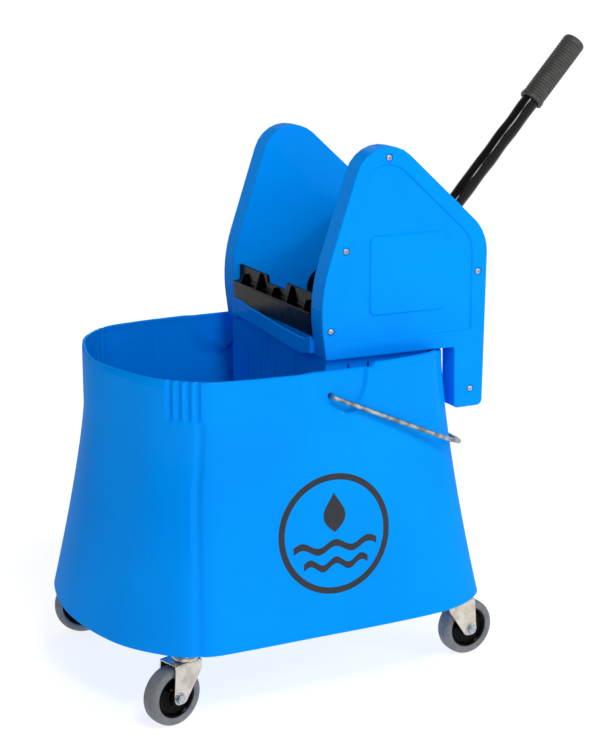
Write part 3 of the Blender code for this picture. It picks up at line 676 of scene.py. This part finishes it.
front_count = sum(1 for p in path_out if p[0] < 4.5)
out_front, in_front = with_stops(path_out[:front_count], path_in[:front_count], 1, FRONT_SLOT_Z)
out_rest, in_rest = with_stops(path_out[front_count - 1:], path_in[front_count - 1:], 0, FLOOR_SLOT_X)
trough_out, trough_in = out_front + out_rest[1:], in_front + in_rest[1:]
slot_middles = [SLOT_PITCH * (k + 0.5) - 15 for k in range(-3, 3)]
TROUGH_END = BASKET_HALF - 0.3  # just inside the end walls' faces
columns = {-TROUGH_END, TROUGH_END, -BASKET_HALF + WEB, BASKET_HALF - WEB}
columns |= {middle + off for middle in slot_middles for off in (-4, -1.5, 1.5, 4)}
columns |= {step + off for step in RIB_STEPS_Y for off in (-0.4, 0.4)}
columns = sorted(columns)


def rib_proud(y):
    """How far the basket's front stands proud at a place across it: by turns out and back."""
    crossed = sum(smooth_step((y - step) / 0.8 + 0.5) * (-1) ** k for k, step in enumerate(RIB_STEPS_Y))
    return RIB_PROUD * crossed


def trough_open(i, j):
    (x0, z0), (x1, z1) = trough_out[i], trough_out[i + 1]
    y = (columns[j] + columns[j + 1]) / 2
    gap = min(abs(y - middle) for middle in slot_middles)
    if max(x0, x1) < 4.5:
        return FRONT_SLOT_Z[0] - 1 < min(z0, z1) and max(z0, z1) < FRONT_SLOT_Z[1] + 1 and gap < SLOT_HALF
    inside = FLOOR_SLOT_X[0] - 0.1 < x0 and x1 < FLOOR_SLOT_X[1] + 0.1 and z0 < 307
    return inside and gap < FLOOR_SLOT_HALF


outer = [[(x - (rib_proud(y) if x < 4.5 and z > 335 else 0), y, z) for y in columns] for x, z in trough_out]
inner = [[(x, y, z) for y in columns] for x, z in trough_in]
sheet(wringer, outer, inner, trough_open)

side_slots = [36 + 28 * k for k in range(4)]
low_edge = [tuple(p) for p in rounded(inner_corners(BASKET, 0.3))[9:45]]  # just inside the trough
slot_edges = [x + off for x in side_slots for off in (-SLOT_HALF, SLOT_HALF)]
low_edge = with_stops(low_edge, low_edge, 0, slot_edges)[0]
for side in (-1, 1):
    levels_up = [[z] + [max(z + 0.01, h) for h in (*SIDE_SLOT_Z, BASKET_TOP - 2)] for x, z in low_edge]
    grids = [[[(x, side * y, z) for z in levels] for (x, _), levels in zip(low_edge, levels_up)]
             for y in (BASKET_HALF, BASKET_HALF - WEB)]

    def side_open(i, j):
        x = (low_edge[i][0] + low_edge[i + 1][0]) / 2
        return j == 1 and min(abs(x - slot) for slot in side_slots) < SLOT_HALF

    sheet(wringer, *grids, side_open)


def apron_foot(y):
    """The apron's lower edge: it sags toward the near cheek and turns up just before it."""
    sag = 9.0 * smooth_step((100 - y) / 190)
    return 441 - sag + 5.0 * smooth_step((-98 - y) / 22)


# Its top edge stops short, so that the guard's front stands in the groove behind it.
apron_rings = []
apron_ys = sorted({-120 + 4 * k for k in range(61)} | {106.2, 106.6, 107.4, 107.8})
for y in apron_ys:
    foot = apron_foot(y)
    seam = 1.2 if abs(y - 107) < 0.5 else 0
    brim = foot + 21 + 3 * smooth_step((y - 60) / 40)
    section = [(7, 484.5), (-1.2, 484.5), (-1.2, brim - 3), (-4.2, brim - 3), (-4.6, brim),
               (-5.6 + seam, brim), (-6.4 + seam, brim - 1), (-6.6 + seam, foot + 8),
               (-7.2 + seam, foot + 3), (-6.9 + seam, foot + 0.8), (-5.6, foot), (1, foot), (7, foot)]
    apron_rings.append([wringer.verts.new((x, y, z)) for x, z in section])
skin(wringer, apron_rings)
wringer.faces.new(apron_rings[0])
wringer.faces.new(apron_rings[-1])
block(wringer, DECK_LOW, DECK_HIGH)
block(wringer, BACK_LOW, BACK_HIGH)
for y in (-80, 0, 80):
    slab(wringer, [(205, 433.5, 0.6), (222.5, 433.5, 0.6), (222.5, 470, 0.6)], y - 1.5, y + 1.5, 0.4)
make("wringer", wringer, blue, "wringer", stands_for=("wringer_body",))


# --- Cheek covers -------------------------------------------------------------------------
# A moulded cover closes each hollow cheek. Its middle is sunk, with a raised square pad, and
# five self-tapping screws with crossed recesses hold it.

FIELD = [(25, 451.4, 5), (24, 510, 150), (62.8, 705.9, 36), (210, 572, 45), (210, 451.4, 5)]
FIELD_DEEP = 1.9
PAD = [(62.5, 484, 8), (62.5, 583.4, 8), (171.5, 583.4, 8), (171.5, 484, 8)]
SCREWS = [(87, 680), (28, 568), (218, 528), (7.5, 469), (210, 374)]
SCREW_FACE_Y, SCREW_HEAD_R = 149.0, 3.9

for side, name in ((-1, "right_cover"), (1, "left_cover")):
    cover = bmesh.new()

    def ring(corners, inset_by, y):
        return loop_at(cover, rounded(inner_corners(corners, inset_by)), side * y)

    floor_y = CHEEK_OUT_Y - FIELD_DEEP
    edge = [ring(CHEEK, d, y) for d, y in ((0, COVER_Y), (0, 149.1), (0.25, 149.65), (0.9, 149.93),
                                           (1.8, CHEEK_OUT_Y))]
    step = [ring(FIELD, d, y) for d, y in ((-0.8, CHEEK_OUT_Y), (-0.1, 149.85), (0.6, 149.4),
                                           (1.4, floor_y + 0.2), (2.4, floor_y))]
    pad = [ring(PAD, d, y) for d, y in ((-1.4, floor_y), (-0.7, floor_y + 0.2), (0, 149.4), (0.6, 149.85),
                                        (1.4, CHEEK_OUT_Y))]
    for rings in (edge, step, pad):
        skin(cover, rings)
    seats = []
    for at in SCREWS:
        seat = [circle_at(cover, at, r, side * y, 24)
                for r, y in ((5.4, CHEEK_OUT_Y), (5.1, 149.7), (5.0, 148.5))]
        skin(cover, seat)
        cover.faces.new(seat[-1])
        seats.append(seat[0])
    face_between(cover, edge[-1], step[0], *seats)
    face_between(cover, step[-1], pad[0])
    cover.faces.new(pad[-1])
    cover.faces.new(edge[0])
    make(name, cover, blue, "wringer", stands_for=(name,))

# Bright zinc plate over steel, slightly matt from the bath.
zinc = surface("zinc_plated_steel", ("#9aa3a6", "#c4cacb"), 7, (0.2, 0.36), 1.5, 0.02, Metallic=1.0)
screws = bmesh.new()
screw_nodes = []
for side, name in ((-1, "right"), (1, "left")):
    for number, at in enumerate(SCREWS, 1):
        screw_nodes.append(f"{name}_cover_screw_{number}")
        profile = [(SCREW_HEAD_R - 0.3, 0), (SCREW_HEAD_R, 0.3), (SCREW_HEAD_R - 0.1, 0.8), (3.3, 1.4),
                   (2.4, 1.75)]
        rings = [circle_at(screws, at, r, side * (SCREW_FACE_Y + h), 24) for r, h in profile]
        skin(screws, rings)
        screws.faces.new(rings[0])
        cross = []
        for k in range(4):
            for along, across in ((0.45, -0.45), (1.7, -0.4), (1.7, 0.4)):
                cross.append(Matrix.Rotation(math.radians(90 * k + 20), 2) @ Vector((along, across)))
        top, low = ([screws.verts.new((at[0] + p.x * size, side * (SCREW_FACE_Y + h), at[1] + p.y * size))
                     for p in cross] for size, h in ((1, 1.75), (0.7, 0.7)))
        face_between(screws, rings[-1], top)
        skin(screws, [top, low])
        screws.faces.new(low)
make("cover_screws", screws, zinc, "wringer", stands_for=screw_nodes)


# --- Mouth guard --------------------------------------------------------------------------
# A black moulded guard fills the mouth from cheek to cheek: a front that stands in the groove
# behind the apron, a shelf, an upstand with a low gap in its middle, and five ribs.

GUARD = [(-4.4, 459, 0.8), (-1.6, 459, 0.8), (-1.6, 485, 1.5), (8, 485, 0.8), (8, 510, 1.4),
         (4.4, 510, 1.4), (4.4, 488.5, 3), (-6.6, 488.5, 1.4), (-6.6, 485.6, 1.0), (-4.4, 485.6, 0.8)]
GUARD_HALF, NOTCH_HALF, NOTCH_Z, SHELF_Z = 117.6, 29.0, 500.0, 488.5

# Black polypropylene, moulded glossy, scuffed a little by mops.
black = surface("black_polypropylene", ("#020202", "#050505"), 40, (0.14, 0.3), 4, 0.02,
                Specular_IOR_Level=0.07)
guard = bmesh.new()
guard_outline = rounded(GUARD, 5)
rings = []
ends = ((0, 0.9), (0.3, 0.3), (0.9, 0))
stops = [(-GUARD_HALF + y, d) for y, d in ends]
stops += [(y, 0) for y in range(-112, 113, 4)] + [(GUARD_HALF - y, d) for y, d in reversed(ends)]
stops += [(side * (NOTCH_HALF + off), 0) for side in (-1, 1) for off in (-1.5, -0.8, 0.0, 0.8, 1.5)]
for y, inset_by in sorted(stops):
    drop = smooth_step((NOTCH_HALF + 1.5 - abs(y)) / 3)
    top = GUARD[4][1] + (NOTCH_Z - GUARD[4][1]) * drop
    squeeze = (top - SHELF_Z) / (GUARD[4][1] - SHELF_Z)
    outline = rounded(inner_corners(GUARD, inset_by), 5) if inset_by else guard_outline
    rings.append([guard.verts.new((p.x, y, SHELF_Z + (p.y - SHELF_Z) * squeeze if p.y > SHELF_Z else p.y))
                  for p in outline])
skin(guard, rings)
guard.faces.new(rings[0])
guard.faces.new(rings[-1])
for y, tip in ((-47, 509.2), (47, 509.2), (0, 498.4), (-95, 500), (95, 500)):
    rib = [(-5.5, 487, 0.8), (5.5, 487, 0.8), (5.5, tip, 0.8), (2 if tip > 505 else 0, tip, 1.2)]
    slab(guard, rib, y - 1.2, y + 1.2, 0.5, 3)
make("mouth_guard", guard, black, "wringer", stands_for=("mouth_guard",))


# --- Press --------------------------------------------------------------------------------
# The black plate that squeezes the mop turns on its shaft between the cheeks. It has a sleeve
# round the shaft, a disc at each end, and ribs on its back.

PRESS_ANGLE, PRESS_REACH, PRESS_HALF = 74.0, 122.0, 115.0
PRESS_PLACE = (PLACE @ Matrix.Translation((PRESS_AT.x, 0, PRESS_AT.y))
               @ Matrix.Rotation(math.radians(-PRESS_ANGLE), 4, "Y"))


def lathe(mesh, profile, count=32, turn=Matrix.Identity(4)):
    """A closed profile of (radius, height) turned round Z, then placed by a matrix."""
    rings = []
    for radius, height in profile:
        turns = [math.tau * k / count for k in range(count)]
        rings.append([mesh.verts.new(turn @ Vector((radius * math.cos(t), radius * math.sin(t), height)))
                      for t in turns])
    skin(mesh, rings + rings[:1])


TO_Y = Matrix.Rotation(-math.pi / 2, 4, "X")  # turns +Z to +Y
press = bmesh.new()
blade = [(0, -3, 0.5), (PRESS_REACH - 3, -3, 2), (PRESS_REACH, 0, 1.5), (PRESS_REACH - 3, 3, 2), (0, 3, 0.5)]
slab(press, blade, -PRESS_HALF, PRESS_HALF, 1.5)
for y in (-84, -42, 0, 42, 84):
    rib = [(4, -2, 0.5), (PRESS_REACH - 14, -2, 0.5), (PRESS_REACH - 14, -4.2, 0.6), (14, -17, 2),
           (4, -17, 0.5)]
    slab(press, rib, y - 1.6, y + 1.6, 0.6, 3)
lathe(press, [(7.4, -112), (12, -112), (12, 112), (7.4, 112)], 40, TO_Y)
for side in (-1, 1):
    disc = [(7.4, 108), (26, 108), (27.2, 109.2), (28.6, 108.6), (29.6, 109.2), (30, 110.2), (30, 116.6),
            (29.2, 117.4), (7.4, 117.4)]
    lathe(press, [(r, side * h) for r, h in disc], 48, TO_Y)
make("press_plate", press, black, "press", place=PRESS_PLACE,
     stands_for=("press_plate",))


def refinish(node, finish):
    """Puts a finish on a CAD node that stays visible."""
    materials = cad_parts[node].data.materials
    materials.clear()
    materials.append(finish)


# Acetal bushes, turned and left matt. The gears are the same black polypropylene.
acetal = surface("white_acetal", ("#d9d8d0", "#e4e3dc"), 20, (0.35, 0.5), 1.5, 0.01)
for end in ("left", "right"):
    for part in ("lever", "press"):
        refinish(f"{end}_{part}_gear", black)
        refinish(f"{end}_{part}_bush", acetal)


# --- Lever --------------------------------------------------------------------------------
# A steel tube in a clamped socket, brushed with thick gloss enamel that has sagged in waves,
# and a ribbed vinyl grip on its end.

LEVER_LEAN, TUBE_R, TUBE_FROM, TUBE_TO = 41.6, 12.5, 52.0, 306.0
SLEEVE_R, SLEEVE_HALF = 19.0, 22.0
GRIP_R, GRIP_START, GRIP_END, GRIP_COLLAR, GRIP_PITCH = 15.75, 299.0, 405.0, 7.0, 4.4
LEVER_PLACE = (PLACE @ Matrix.Translation((LEVER_AT.x, 0, LEVER_AT.y))
               @ Matrix.Rotation(math.radians(LEVER_LEAN), 4, "Y"))

# Gloss enamel over steel tube: wet-looking, with a soft sag about every 12 mm.
enamel = surface("black_gloss_enamel", ("#030303", "#060606"), 60, (0.08, 0.16), 25, 0.03,
                 Specular_IOR_Level=0.22)
tube = bmesh.new()
rings = []
height = TUBE_FROM
while height <= TUBE_TO:
    ring = []
    for k in range(40):
        turn = math.tau * k / 40
        wave = 0.22 * math.sin(math.tau * height / 46 + 1.4 * math.sin(turn))
        sway = 0.25 * math.sin(math.tau * height / 61)
        radius = TUBE_R - 0.3 + wave
        ring.append(tube.verts.new((radius * math.cos(turn) + sway, radius * math.sin(turn), height)))
    rings.append(ring)
    height += 2
skin(tube, rings)
tube.faces.new(rings[0])
tube.faces.new(rings[-1])
make("lever_tube", tube, enamel, "lever", place=LEVER_PLACE, stands_for=("lever_tube",))

socket = bmesh.new()
lathe(socket, [(12.9, 24), (15.5, 6), (16.5, 9), (16.5, 54), (17.6, 55), (17.6, 60.5), (16.8, 61.8),
               (13.4, 61.8), (12.9, 61.2)], 40)
lathe(socket, [(8.4, -SLEEVE_HALF + 1), (9, -SLEEVE_HALF), (SLEEVE_R - 1.5, -SLEEVE_HALF),
               (SLEEVE_R, -SLEEVE_HALF + 1.5), (SLEEVE_R, SLEEVE_HALF - 1.5), (SLEEVE_R - 1.5, SLEEVE_HALF),
               (9, SLEEVE_HALF), (8.4, SLEEVE_HALF - 1)], 48, TO_Y)
make("lever_socket", socket, enamel, "lever", place=LEVER_PLACE,
     stands_for=("lever_socket",))

# Dipped vinyl, matt, dusty in its grooves.
vinyl = surface("grip_vinyl", ("#2c2d2a", "#3a3b37"), 12, (0.45, 0.65), 1.6, 0.06)
grip = bmesh.new()
profile = [(TUBE_R + 0.4, GRIP_START), (GRIP_R + 0.2, GRIP_START), (GRIP_R + 0.9, GRIP_START + 0.7),
           (GRIP_R + 1, GRIP_START + 2), (GRIP_R + 1, GRIP_START + GRIP_COLLAR - 1.2),
           (GRIP_R + 0.6, GRIP_START + GRIP_COLLAR - 0.3), (GRIP_R - 0.9, GRIP_START + GRIP_COLLAR)]
start = GRIP_START + GRIP_COLLAR
for k in range(int((GRIP_END - 5 - start) / GRIP_PITCH)):
    base = start + k * GRIP_PITCH
    profile += [(GRIP_R - 0.9, base + 0.6), (GRIP_R - 0.1, base + 1.1), (GRIP_R, base + 2.5),
                (GRIP_R - 0.1, base + 3.9)]
for k in range(7):
    t = math.radians(15 * k)
    profile.append(((GRIP_R - 5) + 5 * math.cos(t), GRIP_END - 5 + 5 * math.sin(t)))
rings = []
for radius, height in profile:
    ring = []
    for k in range(144):
        turn = math.tau * k / 144
        reach = radius + (0.14 * math.cos(36 * turn) if radius > GRIP_R - 0.5 and height > start else 0)
        ring.append(grip.verts.new((reach * math.cos(turn), reach * math.sin(turn), height)))
    rings.append(ring)
skin(grip, rings)
grip.faces.new(rings[-1])
make("lever_grip", grip, vinyl, "lever", place=LEVER_PLACE, stands_for=("lever_grip",),
     sharp=60)

# Hard-drawn spring wire, oiled and dark.
spring_steel = surface("spring_steel", ("#5a5955", "#7b7973"), 5, (0.25, 0.4), 1.0, 0.02, Metallic=1.0)
refinish("return_spring", spring_steel)
for node in ("lever_shaft", "press_shaft", "lever_clamp_bolt"):
    refinish(node, zinc)


# --- Casters ------------------------------------------------------------------------------
# Four 76 mm swivel casters: a pressed nickel-plated fork with a domed crown, a black nylon hub
# with a dished face, and a grey rubber tyre. The axle's nuts have six flats.

CASTERS = {"front_right": (-198, -160, 16), "front_left": (-198, 160, -18),
           "rear_right": (198, -135, 184), "rear_left": (198, 135, 169)}
TRAIL, WHEEL_R, WHEEL_HALF, SEAT_R = 22.0, 38.0, 12.0, 27.0
FORK_IN_Y, FORK_OUT_Y, CROWN_LOW, CROWN_HIGH, RACE_Z = 14.0, 16.5, 79.0, 81.5, 90.3
LEG = [(-31, 29.5, 8.5), (-27, 81.5, 2), (14, 81.5, 4), (13, 68, 14), (-13, 29.5, 8.5)]

# Pressed steel, nickel plated: warm and bright, with faint drawing lines.
nickel = surface("nickel_plated_pressing", ("#b9b1a2", "#d6cfc2"), 14, (0.16, 0.32), 2.0, 0.03,
                 stretch=(1, 1, 0.15), Metallic=1.0)
# Grey thermoplastic rubber, matt and slightly dusty.
rubber = surface("grey_rubber", ("#63666a", "#717477"), 10, (0.5, 0.72), 0.9, 0.04)

for name, (x, y, turn) in CASTERS.items():
    swivel = PLACE @ Matrix.Translation((x, y, 0)) @ Matrix.Rotation(math.radians(turn), 4, "Z")
    wheel_place = swivel @ Matrix.Translation((-TRAIL, 0, WHEEL_R))
    fork = bmesh.new()
    for side in (-1, 1):
        slab(fork, LEG, *sorted((side * FORK_IN_Y, side * FORK_OUT_Y)), 0.5, 6)
    block(fork, (-26.8, -FORK_OUT_Y, CROWN_LOW), (13.5, FORK_OUT_Y, CROWN_HIGH), 1.0)
    lathe(fork, [(5.4, 81), (17, 81), (17.2, 82.5), (16.4, 84.5), (15, 85.4), (16.2, 86.4), (16.8, 88.5),
                 (16, RACE_Z), (5.4, RACE_Z)], 40)
    make(f"{name}_fork_pressing", fork, nickel, f"{name}_fork", place=swivel,
         stands_for=(f"{name}_fork",))

    tyre = bmesh.new()
    section = [(SEAT_R, WHEEL_HALF - 2.4), (SEAT_R + 0.6, WHEEL_HALF - 1.4), (SEAT_R + 2.5, WHEEL_HALF - 0.4),
               (32, WHEEL_HALF), (34.2, WHEEL_HALF - 0.5), (36.2, WHEEL_HALF - 2.2), (37.3, WHEEL_HALF - 4.4),
               (37.7, 5.2), (37.35, 4.9), (37.35, 4.3), (37.85, 4.0), (38, 0)]
    lathe(tyre, section + [(r, -h) for r, h in section[-2::-1]], 72, TO_Y)
    make(f"{name}_tyre", tyre, rubber, f"{name}_wheel", place=wheel_place,
         stands_for=(f"{name}_tyre",))

    hub = bmesh.new()
    face = [(4.4, 13.3), (9.2, 13.3), (10, 12.6), (10.4, 8), (12, 6.4), (19, 5), (22, 6), (24.2, 9.2),
            (25.2, 10.1), (26.6, 10)]
    lathe(hub, face + [(r, -h) for r, h in face[::-1]], 48, TO_Y)
    make(f"{name}_hub", hub, black, f"{name}_wheel", place=wheel_place,
         stands_for=(f"{name}_hub",))

    axle = bmesh.new()
    for side in (-1, 1):
        rings = [circle_at(axle, (0, 0), r, side * h, 6) for h, r in ((16.8, 6.5), (19.2, 6.5), (20.2, 5.8))]
        skin(axle, rings)
        axle.faces.new(rings[0])
        axle.faces.new(rings[-1])
        bolt_end = ((0.01, 16), (3.6, 16), (3.6, 20.2), (3.2, 20.9), (1.8, 21.2), (0.01, 21.2))
        lathe(axle, [(r, side * h) for r, h in bolt_end], 20, TO_Y)
        washer = ((4.1, 16.55), (8.2, 16.55), (8.2, 17), (4.1, 17))
        lathe(axle, [(r, side * h) for r, h in washer], 28, TO_Y)
    lathe(axle, [(0.01, -16.9), (4, -16.9), (4, 16.9), (0.01, 16.9)], 24, TO_Y)
    make(f"{name}_axle", axle, zinc, f"{name}_wheel", place=wheel_place,
         stands_for=(f"{name}_axle",))

    refinish(f"{name}_plate", nickel)
    refinish(f"{name}_king_pin", zinc)
